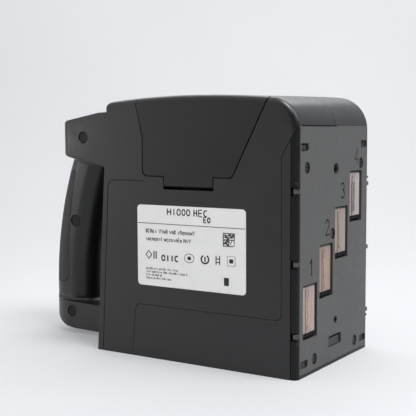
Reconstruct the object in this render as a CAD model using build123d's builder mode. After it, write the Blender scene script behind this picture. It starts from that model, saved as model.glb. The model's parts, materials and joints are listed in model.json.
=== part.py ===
from build123d import *
import os
from math import cos, radians, sin, sqrt, tan

# Handheld date code inkjet printer. Millimetres, +Z up, standing on its flat bottom.
# +X points out of the print face, -Y out of the label side, +Y out of the screen side.
# The origin is on the standing face, between the two sides and half the length behind the print face.

# ------------------------------------------------------------------ driving dimensions
LENGTH = 264.0           # print face to the back of the grip
THICKNESS = 121.5        # label side to screen side
CROWN_NEAR = 196.7       # highest point of the top, on the label side
CROWN_FAR = 199.1        # and on the screen side: the top rises a little across the body
CROWN_RADIUS = 787.0     # the top is a gentle arc along X
CROWN_X = 44.0
FRONT_RADIUS_NEAR = 22.0
FRONT_RADIUS_FAR = 25.0
EDGE_RADIUS = 4.5
BACK_RADIUS = 5.0
WALL = 2.5
REAR_FOOT_X = -43.0      # the back of the housing at the floor
REAR_LEAN = 3.54         # degrees that the back leans forward
SEAM_Y = -0.95           # where the two housing halves meet
SEAM_GAP = 0.3           # clearance between neighbouring covers

HEADS = 4                # print heads in a staircase, one inch of print each
HEAD_PITCH_Y = 25.5
HEAD_PITCH_Z = 25.4
HEAD_1_Y = -40.4
HEAD_1_Z = 45.0
WINDOW_Y = 21.9
WINDOW_Z = 38.4

PLATE_THICKNESS = 3.0
PLATE_HALF_Y = 56.25
PLATE_BOTTOM_Z = 2.5
PLATE_TOP_Z = 174.3
TAB_LEVELS = (30.2, 79.9, 129.6)     # where the plate's tabs hook into the nose
TAB_HEIGHT = 3.0
NOTCH_HEIGHT = 6.0
GUIDE_HOLE = (0.85, 143.0, 4.25)     # y, z, radius
LOCATING_HOLE = (1.05, 31.8, 2.85)
PLATE_SCREWS = ((-45.75, 145.4), (45.25, 146.0), (-4.35, 96.2), (-33.55, 10.1), (35.65, 9.8))
CLIP_SLOTS = ((-49.3, 159.4), (50.35, 160.4), (-49.65, 9.1), (50.35, 9.0))
CLIP_SLOT = (11.4, 5.4)
DOCK_SLOT = (0.35, 17.0, 21.4, 8.2)  # y, z, width, height

HINGE_Y = 51.5           # lid hinge, along X under the far edge of the top
HINGE_Z = 195.0
HINGE_X = (4.0, 92.0)
KNUCKLES_X = (22.0, 74.0)
KNUCKLE_LENGTH = 10.0
BARREL_RADIUS = 2.4
HINGE_PIN_RADIUS = 1.25
PIN_CLEARANCE = 0.05

CARTRIDGE_Y = 24.2
CARTRIDGE_Z = 58.0
CARTRIDGE_BACK_X = 62.0
CARTRIDGE_SHOULDER_X = 118.0
STALL_BACK_X = 84.0
STALL_FLOOR = 2.5
LEVER_PIVOT = (66.0, 35.0)           # x, and height above the head's centre
LEVER_WIDTH = 16.0
LEVER_PIN_RADIUS = 1.5

ARM_HALF_Y = 25.5        # half width of the handle's two arms
GRIP_Y = 39.0
GRIP_X = 41.0
SPINE_RADIUS = 292.0     # the grip bows backwards along this arc
SPINE_X = -109.8
HEEL_X = -129.5          # the back of the handle's foot
HEEL_CENTRE = (-94.9, 33.0)
HEEL_REACH = 36.0
HEEL_RISE = 29.1
SPINE_Z = 38.0
HANDLE_WALL = 3.0
ARM_TOP_Z = 25.5
HANDLE_SCREWS = ((-85.4, 166.0, ARM_HALF_Y), (-100.6, 95.3, GRIP_Y / 2), (-100.5, 18.6, ARM_HALF_Y))
HANDLE_SCREW_RADIUS = 1.95
GRIP_JUNCTIONS = ((24.0, 29.5, 22.0, 4.0), (138.0, 153.0, 19.6, 2.7))    # low, high, reach, radius
PLUG_RADIUS = 4.5
PLUG_THICKNESS = 2.0
PLUG_SINK = 0.5
PLUG_SEAT = 6.0
MOUNT_SCREWS = ((-14.0, 158.0), (14.0, 158.0), (-14.0, 176.0), (14.0, 176.0), (-14.0, 16.0), (14.0, 16.0))
THUMB_Z = 165.5
THUMB_SIZE = (16.0, 14.0)
THUMB_PROUD = 1.5

BOSS_RADIUS = 3.6
SCREW_RADIUS = 1.45
SCREW_HEAD = 2.75
SCREW_HEAD_Y = 20.0
SCREW_BITE = 14.0
CSK_RADIUS = 3.15
SHELL_SCREWS = ((-16.0, 182.0), (-32.4, 62.0), (-24.0, 7.5), (117.0, 179.0))
SKIRT_SCREWS = ((4.0, 8.2), (108.0, 8.2))
CARRIER_SCREWS = ((-48.0, 158.0), (8.0, 158.0), (48.0, 20.0), (20.0, 26.0))
BOARD_SCREWS = ((-46.0, 20.0), (44.0, 74.0), (-46.0, 132.0), (44.0, 132.0))
BOARD_X = -24.0

LABEL_X = 44.7
LABEL_Z = 85.75
LABEL_SIZE = (94.8, 60.7)
LABEL_THICKNESS = 0.2
GROOVE_WIDTH = 0.6
GROOVE_DEPTH = 0.5
LID_GAP = 0.7
TAB_Z = 129.8            # lower edge of the lid's finger tab
TAB_GAP_Z = 128.0        # and of the finger gap under it
LID_TROUGH_Y = 55.7      # how far the top opening runs beyond the hinge
MAGNET_X = 43.5
MAGNET_Z = 134.5
MAGNET_RADIUS = 3.0
MAGNET_DEPTH = 2.2
CATCH_Y = -55.7

SCREEN_X = 27.0
SCREEN_Z = 128.0
SCREEN_SIZE = (112.0, 72.0)
GLASS_RECESS = 1.6
POWER_X = 98.0
POWER_Z = 134.0
POWER_RADIUS = 6.0
PORT_Y = 41.0
PORT_Z = 36.0
PORT_SIZE = (17.0, 34.0)
PORT_RECESS = 2.8
PORT_PAD = 3.0
JACK_RISE = 7.5
JACK_SIZE = (9.0, 10.0)
USB_DROP = 6.5
USB_SIZE = (4.6, 12.0)
FLAP_BARREL = 1.3
FLAP_PIN_RADIUS = 0.7

NOSE_DEPTH = 4.7         # where the nose meets the covers, behind the print face
NOSE_BACK_X = 123.7
CARRIER_FRONT_X = 118.3
NOTCH_FLOOR_Y = 58.9
TAB_REACH_Y = 60.2
DOCK_DEPTH = 4.2
STALL_WALL = 0.9
STALL_Z = 58.4
EAR_Y = 9.5              # half spacing of the ears that carry a lever
EAR_THICKNESS = 2.0
CONTACT_SIZE = (12.0, 16.0)
SNOUT_X = 130.6
SNOUT_RISE = 0.5
SNOUT_SIZE = (20.4, 35.8)

FACE_X = LENGTH / 2
HALF_Y = THICKNESS / 2
NOSE_X = FACE_X - NOSE_DEPTH
PLATE_BACK_X = FACE_X - PLATE_THICKNESS
HEAD_CENTRES = [(HEAD_1_Y + i * HEAD_PITCH_Y, HEAD_1_Z + i * HEAD_PITCH_Z) for i in range(HEADS)]


def save(part, name):
    """Label a finished piece and write it under its own name."""
    part.label = name
    export_step(part, f"parts/{name}.step")


def rear_x(z):
    """The back of the housing at height z."""
    return REAR_FOOT_X + z * tan(radians(REAR_LEAN))


def side_plane(y):
    """A drawing plane parallel to the label side, with local x along X and local y along Z."""
    return Plane.XZ.offset(-y)


def front_plane(x):
    """A drawing plane parallel to the print face, with local x along Y and local y along Z."""
    return Plane.YZ.offset(x)


# The back face, seen from behind: local y climbs the slope and local x runs towards -Y.
REAR_PLANE = Plane(
    origin=(REAR_FOOT_X, 0, 0),
    x_dir=(0, -1, 0),
    z_dir=(-cos(radians(REAR_LEAN)), 0, sin(radians(REAR_LEAN))),
)


def rear_spots(places):
    """Places on the back face, given as (y, rise up the slope), in its own drawing plane."""
    return [(-y, rise) for y, rise in places]


def rear_point(y, rise, depth):
    """A point under the housing's back face: across, up the slope, and in from the surface."""
    return REAR_PLANE.from_local_coords((-y, rise, -depth))


FLAP_HINGE = rear_point(PORT_Y, PORT_Z - PORT_SIZE[1] / 2 + FLAP_BARREL, FLAP_BARREL)


# ------------------------------------------------------------------ outlines of the housing
def housing_outline(y, inset, crown, front_radius):
    """Side view of the housing: leaning back, crowned top, big round front corner."""
    radius = CROWN_RADIUS - inset

    def crown_z(x):
        return crown - CROWN_RADIUS + sqrt(radius**2 - (x - CROWN_X) ** 2)

    front = FACE_X - inset
    back_top = rear_x(crown_z(rear_x(crown))) + inset
    with BuildSketch(side_plane(y)) as outline:
        with BuildLine():
            Polyline(
                (front, crown_z(front)), (front, inset),
                (rear_x(inset) + inset, inset), (back_top, crown_z(back_top)),
            )
            ThreePointArc((back_top, crown_z(back_top)), (CROWN_X, crown_z(CROWN_X)), (front, crown_z(front)))
        make_face()
        corner = outline.vertices().group_by(Axis.X)[-1].sort_by(Axis.Y)[-1]
        fillet(corner, radius=front_radius - inset)
    return outline.sketch


def lid_outline(gap, tab_z):
    """The lid in side view: a wide hood that narrows to a skirt with a finger tab."""
    with BuildSketch(Plane.XZ) as outline:
        with BuildLine():
            Polyline(
                (-12.0, 225.0), (2.2 + gap, 166.6), (2.2 + gap, 137.2 + gap), (80.9 - gap, 137.2 + gap),
                (130.0 - gap, 231.9 + gap), close=True,
            )
        make_face()
        fillet(outline.vertices().group_by(Axis.Y)[0], radius=4.5)
        with Locations((43.5, (tab_z + 150.0) / 2)):
            Rectangle(43.9 - 2 * gap, 150.0 - tab_z)
    return outline.sketch


def skirt_outline(gap):
    """The lower cover in side view: a low wall along the bottom and a narrow strip up the front."""
    left = -9.6 + gap
    right = NOSE_X - gap
    strip = 120.0 + gap
    ledge = 40.5 - gap
    slope = (174.5 - 154.1) / 11.6
    with BuildSketch(Plane.XZ) as outline:
        with BuildLine():
            Polyline(
                (left, -5.0), (left + 4.6, ledge), (strip, ledge), (strip, 153.4 - gap),
                (right, 153.4 - gap + (right - strip) * slope), (right, -5.0), close=True,
            )
        make_face()
        corners = outline.vertices().filter_by_position(Axis.Y, ledge - 0.1, ledge + 0.1)
        fillet(corners, radius=4.5)
    return outline.sketch


def nose_outline(gap):
    """The nose in side view, in front of the housing and under the sloping end of its top."""
    slope = (174.5 - 154.1) / 11.6
    corner_z = 174.5 - NOSE_DEPTH * slope
    with BuildSketch(Plane.XZ) as outline:
        with BuildLine():
            Polyline(
                (NOSE_X + gap, -5.0), (NOSE_X + gap, corner_z - gap), (FACE_X + gap, 174.5 - gap),
                (FACE_X + 5, 174.5 - gap), (FACE_X + 5, -5.0), close=True,
            )
        make_face()
    return outline.sketch


def shell_outline(*removed):
    """Side view of everything behind the nose, apart from the removed outlines."""
    with BuildSketch(Plane.XZ) as outline:
        Rectangle(2 * LENGTH, 2 * LENGTH)
        add(nose_outline(0), mode=Mode.SUBTRACT)
        for other in removed:
            add(other, mode=Mode.SUBTRACT)
    return outline.sketch


def plate_pocket(back_x):
    """The room for the print plate, between the two corner columns, open towards the front."""
    height = PLATE_TOP_Z + 0.2 - PLATE_BOTTOM_Z
    with BuildSketch(front_plane(back_x)) as outline:
        with Locations((0, PLATE_BOTTOM_Z + height / 2)):
            Rectangle(2 * (PLATE_HALF_Y + 0.25), height)
    return outline.sketch


BACK_CORNER_Z = CROWN_NEAR - 8.6
BACK_CORNER_X = rear_x(BACK_CORNER_Z) + BACK_RADIUS


# ------------------------------------------------------------------ the whole housing, before it is cut up
with BuildPart() as housing:
    add(housing_outline(-HALF_Y, 0, CROWN_NEAR, FRONT_RADIUS_NEAR))
    add(housing_outline(HALF_Y, 0, CROWN_FAR, FRONT_RADIUS_FAR))
    loft()
    side_edges = housing.edges().filter_by(lambda e: abs(abs(e.center().Y) - HALF_Y) < 0.01)
    soft_edges = side_edges.filter_by(lambda e: e.center().X > 20 and e.center().Z > 5)
    fillet(soft_edges, radius=EDGE_RADIUS)
    with BuildSketch(side_plane(-HALF_Y)) as back_corner:
        with Locations((BACK_CORNER_X - BACK_RADIUS / 2, BACK_CORNER_Z + BACK_RADIUS / 2)):
            Rectangle(BACK_RADIUS, BACK_RADIUS + 4)
        with Locations((BACK_CORNER_X, BACK_CORNER_Z)):
            Circle(BACK_RADIUS, mode=Mode.SUBTRACT)
    extrude(amount=THICKNESS, dir=(0, 1, (CROWN_FAR - CROWN_NEAR) / THICKNESS), mode=Mode.SUBTRACT)

with BuildPart() as hollow:
    add(housing_outline(-HALF_Y + WALL, WALL, CROWN_NEAR, FRONT_RADIUS_NEAR))
    add(housing_outline(HALF_Y - WALL, WALL, CROWN_FAR, FRONT_RADIUS_FAR))
    loft()

with BuildPart() as skin:
    add(housing)
    add(hollow, mode=Mode.SUBTRACT)

SIDEWAYS = (-90, 0, 0)       # turns a cylinder from +Z to +Y
FORWARDS = (0, 90, 0)        # turns a cylinder from +Z to +X
STARTING = (Align.CENTER, Align.CENTER, Align.MIN)
os.makedirs("parts", exist_ok=True)


# ------------------------------------------------------------------ housing halves
def boss_places(holes, y):
    """Where the housing screws' bosses stand, as points on one side."""
    return [(x, y, z) for x, z in holes]


with BuildPart() as label_side_shell:
    add(skin)
    split(bisect_by=Plane.XZ.offset(-SEAM_Y), keep=Keep.TOP)
    with Locations(*boss_places(SHELL_SCREWS, 1 - HALF_Y)):
        Cylinder(BOSS_RADIUS, HALF_Y - 1 + SEAM_Y, rotation=SIDEWAYS, align=STARTING)
    with Locations(*boss_places(SHELL_SCREWS, SEAM_Y)):
        Cylinder(SCREW_RADIUS + PIN_CLEARANCE, 2 * SCREW_BITE, rotation=SIDEWAYS, mode=Mode.SUBTRACT)
    label_side_outline = shell_outline(lid_outline(0, TAB_GAP_Z), skirt_outline(0))
    extrude(label_side_outline, amount=100, both=True, mode=Mode.INTERSECT)
    extrude(plate_pocket(NOSE_X - 1), amount=20, mode=Mode.SUBTRACT)
    with BuildSketch(side_plane(-HALF_Y)):
        with Locations((LABEL_X, LABEL_Z)):
            RectangleRounded(LABEL_SIZE[0] + 0.4, LABEL_SIZE[1] + 0.4, 3.2)
    extrude(amount=-LABEL_THICKNESS, mode=Mode.SUBTRACT)
    with BuildSketch(side_plane(-HALF_Y)):
        with BuildLine():
            FilletPolyline((-37.7, -1.0), (-30.3, 133.9), (4.0, 133.9), radius=5.0)
        trace(line_width=GROOVE_WIDTH)
    extrude(amount=-GROOVE_DEPTH, mode=Mode.SUBTRACT)
    with BuildSketch(REAR_PLANE):
        with Locations(*MOUNT_SCREWS):
            Circle(HANDLE_SCREW_RADIUS + 0.2)
    extrude(amount=-WALL - 1, mode=Mode.SUBTRACT)
save(label_side_shell.part, "label_side_shell")

with BuildPart() as base_skirt:
    add(skin)
    split(bisect_by=Plane.XZ.offset(-SEAM_Y), keep=Keep.TOP)
    with Locations(*boss_places(SKIRT_SCREWS, 1 - HALF_Y)):
        Cylinder(BOSS_RADIUS, HALF_Y - 1 + SEAM_Y, rotation=SIDEWAYS, align=STARTING)
    with Locations(*boss_places(SKIRT_SCREWS, SEAM_Y)):
        Cylinder(SCREW_RADIUS + PIN_CLEARANCE, 2 * SCREW_BITE, rotation=SIDEWAYS, mode=Mode.SUBTRACT)
    extrude(skirt_outline(SEAM_GAP), amount=100, both=True, mode=Mode.INTERSECT)
save(base_skirt.part, "base_skirt")

with BuildPart() as screen_side_shell:
    add(skin)
    extrude(shell_outline(), amount=100, both=True, mode=Mode.INTERSECT)
    extrude(plate_pocket(NOSE_X - 1), amount=20, mode=Mode.SUBTRACT)
    split(bisect_by=Plane.XZ.offset(-SEAM_Y - SEAM_GAP), keep=Keep.BOTTOM)
    with BuildSketch(Plane.XZ.offset(-SEAM_Y)):
        add(lid_outline(0, TAB_GAP_Z))
    extrude(amount=-(LID_TROUGH_Y - SEAM_Y), mode=Mode.SUBTRACT)
    with Locations(*boss_places(SHELL_SCREWS + SKIRT_SCREWS, HALF_Y - 1)):
        Cylinder(BOSS_RADIUS, HALF_Y - 1 - SEAM_Y - SEAM_GAP, rotation=(90, 0, 0), align=STARTING)
    with Locations(*boss_places(SHELL_SCREWS + SKIRT_SCREWS, HALF_Y)):
        Cylinder(SCREW_RADIUS + 0.2, 2 * THICKNESS, rotation=SIDEWAYS, mode=Mode.SUBTRACT)
        Cylinder(
            SCREW_HEAD + 0.2, HALF_Y - SCREW_HEAD_Y, rotation=(90, 0, 0), align=STARTING, mode=Mode.SUBTRACT
        )
    with BuildSketch(side_plane(HALF_Y)):
        with Locations((SCREEN_X, SCREEN_Z)):
            RectangleRounded(SCREEN_SIZE[0], SCREEN_SIZE[1], 5)
    extrude(amount=GLASS_RECESS, mode=Mode.SUBTRACT)
    with BuildSketch(side_plane(HALF_Y)):
        with Locations((SCREEN_X, SCREEN_Z)):
            RectangleRounded(SCREEN_SIZE[0] - 7, SCREEN_SIZE[1] - 7, 2)
        with Locations((POWER_X, POWER_Z)):
            Circle(POWER_RADIUS + 0.3)
    extrude(amount=WALL + 1, mode=Mode.SUBTRACT)
    for knuckle_x in KNUCKLES_X:
        with Locations((knuckle_x + KNUCKLE_LENGTH / 2, HINGE_Y, HINGE_Z)):
            Cylinder(BARREL_RADIUS, KNUCKLE_LENGTH, rotation=FORWARDS)
            Box(KNUCKLE_LENGTH, 8.0, 3.0, align=(Align.CENTER, Align.MIN, Align.CENTER))
            Cylinder(
                HINGE_PIN_RADIUS + PIN_CLEARANCE, 2 * KNUCKLE_LENGTH, rotation=FORWARDS, mode=Mode.SUBTRACT
            )
    with BuildSketch(REAR_PLANE.offset(-WALL / 2)):
        with Locations(*rear_spots([(PORT_Y, PORT_Z)])):
            Rectangle(PORT_SIZE[0] + 4, PORT_SIZE[1] + 6)
    extrude(amount=-WALL / 2 - PORT_PAD)
    with BuildSketch(REAR_PLANE):
        with Locations(*rear_spots([(PORT_Y, PORT_Z)])):
            RectangleRounded(PORT_SIZE[0] + 0.8, PORT_SIZE[1] + 0.8, 1.5)
    extrude(amount=-PORT_RECESS, mode=Mode.SUBTRACT)
    with BuildSketch(REAR_PLANE):
        with Locations(*rear_spots([(PORT_Y, PORT_Z + JACK_RISE)])):
            Rectangle(JACK_SIZE[0] + 0.4, JACK_SIZE[1] + 0.4)
        with Locations(*rear_spots([(PORT_Y, PORT_Z - USB_DROP)])):
            Rectangle(USB_SIZE[0] + 0.4, USB_SIZE[1] + 0.4)
    extrude(amount=-20, mode=Mode.SUBTRACT)
    with Locations(FLAP_HINGE):
        Cylinder(FLAP_PIN_RADIUS + PIN_CLEARANCE, PORT_SIZE[0] + 4, rotation=SIDEWAYS, mode=Mode.SUBTRACT)
    with BuildSketch(REAR_PLANE):
        with Locations(*MOUNT_SCREWS):
            Circle(HANDLE_SCREW_RADIUS + 0.2)
    extrude(amount=-WALL - 1, mode=Mode.SUBTRACT)
save(screen_side_shell.part, "screen_side_shell")

with BuildPart() as shell_screws:
    with Locations(*boss_places(SHELL_SCREWS + SKIRT_SCREWS, SCREW_HEAD_Y)):
        Cylinder(SCREW_HEAD, 2.4, rotation=SIDEWAYS, align=STARTING)
        Cylinder(SCREW_RADIUS, SCREW_HEAD_Y - SEAM_Y + SCREW_BITE - 1, rotation=(90, 0, 0), align=STARTING)
    with Locations(*boss_places(SHELL_SCREWS + SKIRT_SCREWS, SCREW_HEAD_Y + 2.4)):
        Box(3.4, 2.4, 0.7, mode=Mode.SUBTRACT)
        Box(0.7, 2.4, 3.4, mode=Mode.SUBTRACT)
save(shell_screws.part, "shell_screws")

with BuildPart() as rating_label:
    with BuildSketch(side_plane(-HALF_Y)):
        with Locations((LABEL_X, LABEL_Z)):
            RectangleRounded(*LABEL_SIZE, 3.0)
    extrude(amount=-LABEL_THICKNESS)
save(rating_label.part, "rating_label")


# ------------------------------------------------------------------ cartridge lid and its hinge
with BuildPart() as cartridge_lid:
    add(skin)
    extrude(lid_outline(LID_GAP, TAB_Z), amount=100, both=True, mode=Mode.INTERSECT)
    split(bisect_by=Plane.XZ.offset(-HINGE_Y), keep=Keep.TOP)
    barrel_middle = (HINGE_X[0] + HINGE_X[1]) / 2
    with Locations((barrel_middle, HINGE_Y, HINGE_Z)):
        Cylinder(BARREL_RADIUS, HINGE_X[1] - HINGE_X[0], rotation=FORWARDS)
    with Locations((barrel_middle, HINGE_Y - 1.6, HINGE_Z)):
        Box(HINGE_X[1] - HINGE_X[0], 3.2, 3.6)
    for knuckle_x in KNUCKLES_X:
        with Locations((knuckle_x + KNUCKLE_LENGTH / 2, HINGE_Y, HINGE_Z)):
            Box(KNUCKLE_LENGTH + 0.8, 8.0, 12.0, mode=Mode.SUBTRACT)
    with Locations((barrel_middle, HINGE_Y, HINGE_Z)):
        Cylinder(HINGE_PIN_RADIUS + PIN_CLEARANCE, LENGTH, rotation=FORWARDS, mode=Mode.SUBTRACT)
    with Locations((MAGNET_X, -HALF_Y + WALL, MAGNET_Z)):
        Cylinder(MAGNET_RADIUS + 1.2, MAGNET_DEPTH, rotation=SIDEWAYS, align=STARTING)
        Cylinder(MAGNET_RADIUS, MAGNET_DEPTH, rotation=SIDEWAYS, align=STARTING, mode=Mode.SUBTRACT)
    tab_edge = cartridge_lid.edges().filter_by(
        lambda e: abs(e.center().Z - TAB_Z) < 0.1 and abs(e.center().Y + HALF_Y) < 0.1
    )
    chamfer(tab_edge, length=1.0)
save(cartridge_lid.part, "cartridge_lid")

with BuildPart() as lid_hinge_pin:
    with Locations((barrel_middle, HINGE_Y, HINGE_Z)):
        Cylinder(HINGE_PIN_RADIUS, HINGE_X[1] - HINGE_X[0] - 1, rotation=FORWARDS)
save(lid_hinge_pin.part, "lid_hinge_pin")

with BuildPart() as lid_magnet:
    with Locations((MAGNET_X, -HALF_Y + WALL + 0.1, MAGNET_Z)):
        Cylinder(MAGNET_RADIUS - 0.05, MAGNET_DEPTH - 0.2, rotation=SIDEWAYS, align=STARTING)
save(lid_magnet.part, "lid_magnet")

with BuildPart() as lid_catch_plate:
    with BuildSketch(Plane.YZ.offset(MAGNET_X - 8)):
        with BuildLine():
            Polyline(
                (-HALF_Y + WALL, 114.0), (-HALF_Y + WALL, 124.0), (-HALF_Y + WALL + 1, 124.0),
                (CATCH_Y, 128.5), (CATCH_Y, 139.0), (CATCH_Y + 1, 139.0), (CATCH_Y + 1, 128.0),
                (-HALF_Y + WALL + 1, 122.5), (-HALF_Y + WALL + 1, 114.0), close=True,
            )
        make_face()
    extrude(amount=16)
save(lid_catch_plate.part, "lid_catch_plate")


# ------------------------------------------------------------------ nose and print plate
def head_windows(width, height):
    """The four windows in front of the print heads, climbing like a stair."""
    for y, z in HEAD_CENTRES:
        with Locations((y, z)):
            Rectangle(width, height, mode=Mode.SUBTRACT)


with BuildPart() as nose_frame:
    add(housing)
    extrude(nose_outline(SEAM_GAP), amount=100, both=True, mode=Mode.INTERSECT)
    extrude(plate_pocket(FACE_X - 12), amount=20, mode=Mode.SUBTRACT)
    with BuildSketch(front_plane(NOSE_BACK_X)):
        with Locations((0, (2.8 + 164.0) / 2)):
            Rectangle(115.0, 164.0 - 2.8)
        with Locations((0, (2.8 + PLATE_TOP_Z) / 2)):
            Rectangle(2 * PLATE_HALF_Y, PLATE_TOP_Z - 2.8)
        head_windows(WINDOW_Y + 0.6, WINDOW_Z + 0.6)
        with Locations(GUIDE_HOLE[:2]):
            Circle(GUIDE_HOLE[2] + 0.4, mode=Mode.SUBTRACT)
        with Locations(LOCATING_HOLE[:2]):
            Circle(LOCATING_HOLE[2] + 0.4, mode=Mode.SUBTRACT)
        with Locations(*PLATE_SCREWS, *CARRIER_SCREWS):
            Circle(SCREW_RADIUS + PIN_CLEARANCE, mode=Mode.SUBTRACT)
    extrude(amount=PLATE_BACK_X - 0.1 - NOSE_BACK_X)
    with BuildSketch(front_plane(PLATE_BACK_X)):
        with Locations(DOCK_SLOT[:2]):
            Rectangle(DOCK_SLOT[2] + 0.6, DOCK_SLOT[3] + 0.6)
    extrude(amount=-DOCK_DEPTH, mode=Mode.SUBTRACT)
    for side in (-1, 1):
        for level in TAB_LEVELS:
            with Locations((FACE_X, side * (HALF_Y + NOTCH_FLOOR_Y) / 2, level)):
                Box(14.0, HALF_Y - NOTCH_FLOOR_Y, NOTCH_HEIGHT, mode=Mode.SUBTRACT)
            with Locations((FACE_X, side * HALF_Y, level)):
                Box(2 * PLATE_THICKNESS + 0.2, 10.0, TAB_HEIGHT + 0.6, mode=Mode.SUBTRACT)
        for level in (TAB_LEVELS[0] - 4.7, TAB_LEVELS[2] + 4.9):
            with Locations((FACE_X - 2.2, side * (HALF_Y - 2.2), level)):
                Box(3.6, 3.6, 1.6)
save(nose_frame.part, "nose_frame")

with BuildPart() as print_plate:
    with BuildSketch(front_plane(PLATE_BACK_X)):
        with Locations((0, (PLATE_BOTTOM_Z + PLATE_TOP_Z) / 2)):
            RectangleRounded(2 * PLATE_HALF_Y, PLATE_TOP_Z - PLATE_BOTTOM_Z, 1.0)
        with Locations(*[(0, level) for level in TAB_LEVELS]):
            Rectangle(2 * TAB_REACH_Y, TAB_HEIGHT)
        head_windows(WINDOW_Y, WINDOW_Z)
        with Locations(*CLIP_SLOTS):
            RectangleRounded(*CLIP_SLOT, 1.2, mode=Mode.SUBTRACT)
        with Locations(DOCK_SLOT[:2]):
            RectangleRounded(*DOCK_SLOT[2:], 1.0, mode=Mode.SUBTRACT)
        with Locations(GUIDE_HOLE[:2]):
            Circle(GUIDE_HOLE[2], mode=Mode.SUBTRACT)
        with Locations(LOCATING_HOLE[:2]):
            Circle(LOCATING_HOLE[2], mode=Mode.SUBTRACT)
    extrude(amount=PLATE_THICKNESS)
    with Locations(Plane.YZ.offset(FACE_X)):
        with Locations(*PLATE_SCREWS):
            CounterSinkHole(radius=SCREW_RADIUS + 0.1, counter_sink_radius=CSK_RADIUS + 0.1)
save(print_plate.part, "print_plate")

with BuildPart() as plate_screws:
    with Locations(*[(FACE_X - 0.2, y, z) for y, z in PLATE_SCREWS]):
        Cylinder(SCREW_RADIUS, 7.6, rotation=(0, -90, 0), align=STARTING)
        Cone(CSK_RADIUS - 0.1, SCREW_RADIUS, 1.7, rotation=(0, -90, 0), align=STARTING)
        Box(2.4, 3.0, 0.6, mode=Mode.SUBTRACT)
        Box(2.4, 0.6, 3.0, mode=Mode.SUBTRACT)
save(plate_screws.part, "plate_screws")

with BuildPart() as dock_clip:
    with BuildSketch(Plane.XY.offset(DOCK_SLOT[1] - 2.6)):
        with BuildLine():
            Polyline((124.9, -5.5), (124.9, 6.5), (126.2, 6.5), (126.2, -1.0), (129.4, -1.0), (130.6, -3.2),
                     (129.9, -4.4), (127.6, -3.0), (126.2, -3.0), (126.2, -5.5), close=True)
        make_face()
    extrude(amount=5.2)
save(dock_clip.part, "dock_clip")


# ------------------------------------------------------------------ ink cartridges and their carrier
with BuildPart() as cartridge_carrier:
    with BuildSketch(front_plane(STALL_BACK_X)):
        for y, z in HEAD_CENTRES:
            with Locations((y, z)):
                Rectangle(HEAD_PITCH_Y + STALL_WALL, STALL_Z + 2 * STALL_FLOOR)
        for y, z in HEAD_CENTRES:
            with Locations((y, z)):
                Rectangle(HEAD_PITCH_Y - STALL_WALL, STALL_Z, mode=Mode.SUBTRACT)
    extrude(amount=CARRIER_FRONT_X - STALL_BACK_X)
    with BuildSketch(front_plane(CARRIER_FRONT_X)):
        with Locations((0, 86.0)):
            RectangleRounded(110.0, 160.0, 4.0)
        head_windows(WINDOW_Y, WINDOW_Z)
        with Locations(*CARRIER_SCREWS):
            Circle(SCREW_RADIUS + 0.1, mode=Mode.SUBTRACT)
        with Locations(*PLATE_SCREWS):
            Circle(SCREW_RADIUS + 0.5, mode=Mode.SUBTRACT)
    extrude(amount=NOSE_BACK_X - 0.2 - CARRIER_FRONT_X)
    for y, z in HEAD_CENTRES:
        pivot_z = z + LEVER_PIVOT[1]
        for side in (-1, 1):
            with BuildSketch(side_plane(y + side * EAR_Y)):
                with BuildLine():
                    Polyline(
                        (60.8, pivot_z - 5.3), (60.8, pivot_z), (66.0, pivot_z + 4.4), (72.0, pivot_z + 4.4),
                        (92.0, pivot_z - 4.0), (92.0, pivot_z - 5.3), close=True,
                    )
                make_face()
                with Locations((LEVER_PIVOT[0], pivot_z)):
                    Circle(LEVER_PIN_RADIUS + PIN_CLEARANCE, mode=Mode.SUBTRACT)
            extrude(amount=EAR_THICKNESS / 2, both=True)
        with Locations((104.0, y, z - STALL_Z / 2)):
            Box(CONTACT_SIZE[0] + 0.4, CONTACT_SIZE[1] + 0.4, 2 * STALL_FLOOR + 1, mode=Mode.SUBTRACT)
save(cartridge_carrier.part, "cartridge_carrier")

with BuildPart() as carrier_screws:
    with Locations(*[(CARRIER_FRONT_X, y, z) for y, z in CARRIER_SCREWS]):
        Cylinder(SCREW_RADIUS, 9.0, rotation=FORWARDS, align=STARTING)
        Cylinder(SCREW_HEAD, 2.2, rotation=(0, -90, 0), align=STARTING)
save(carrier_screws.part, "carrier_screws")


def make_cartridge(y, z):
    """An ink cartridge: a flat tank, a narrower snout with the head, and a pull tab behind."""
    with BuildPart() as cartridge:
        with BuildSketch(front_plane(CARTRIDGE_BACK_X)):
            with Locations((y, z)):
                RectangleRounded(CARTRIDGE_Y, CARTRIDGE_Z, 2.0)
        extrude(amount=CARTRIDGE_SHOULDER_X - CARTRIDGE_BACK_X)
        with BuildSketch(front_plane(CARTRIDGE_SHOULDER_X)):
            with Locations((y, z + SNOUT_RISE)):
                RectangleRounded(*SNOUT_SIZE, 1.2)
        extrude(amount=SNOUT_X - CARTRIDGE_SHOULDER_X)
        with BuildSketch(front_plane(CARTRIDGE_BACK_X)):
            with Locations((y, z - 12.0)):
                RectangleRounded(14.0, 22.0, 2.0)
        extrude(amount=-4.0)
    return cartridge.part


def make_nozzle_plate(y, z):
    """The flexible circuit on the snout, with the long thin nozzle die standing on it."""
    with BuildPart() as nozzle_plate:
        with BuildSketch(front_plane(SNOUT_X)):
            with Locations((y, z + SNOUT_RISE)):
                Rectangle(SNOUT_SIZE[0] - 2.6, SNOUT_SIZE[1] - 2.0)
        extrude(amount=0.3)
        with BuildSketch(front_plane(SNOUT_X + 0.3)):
            with Locations((y - 2.9, z + SNOUT_RISE)):
                Rectangle(4.2, 30.4)
        extrude(amount=0.4)
    return nozzle_plate.part


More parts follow.
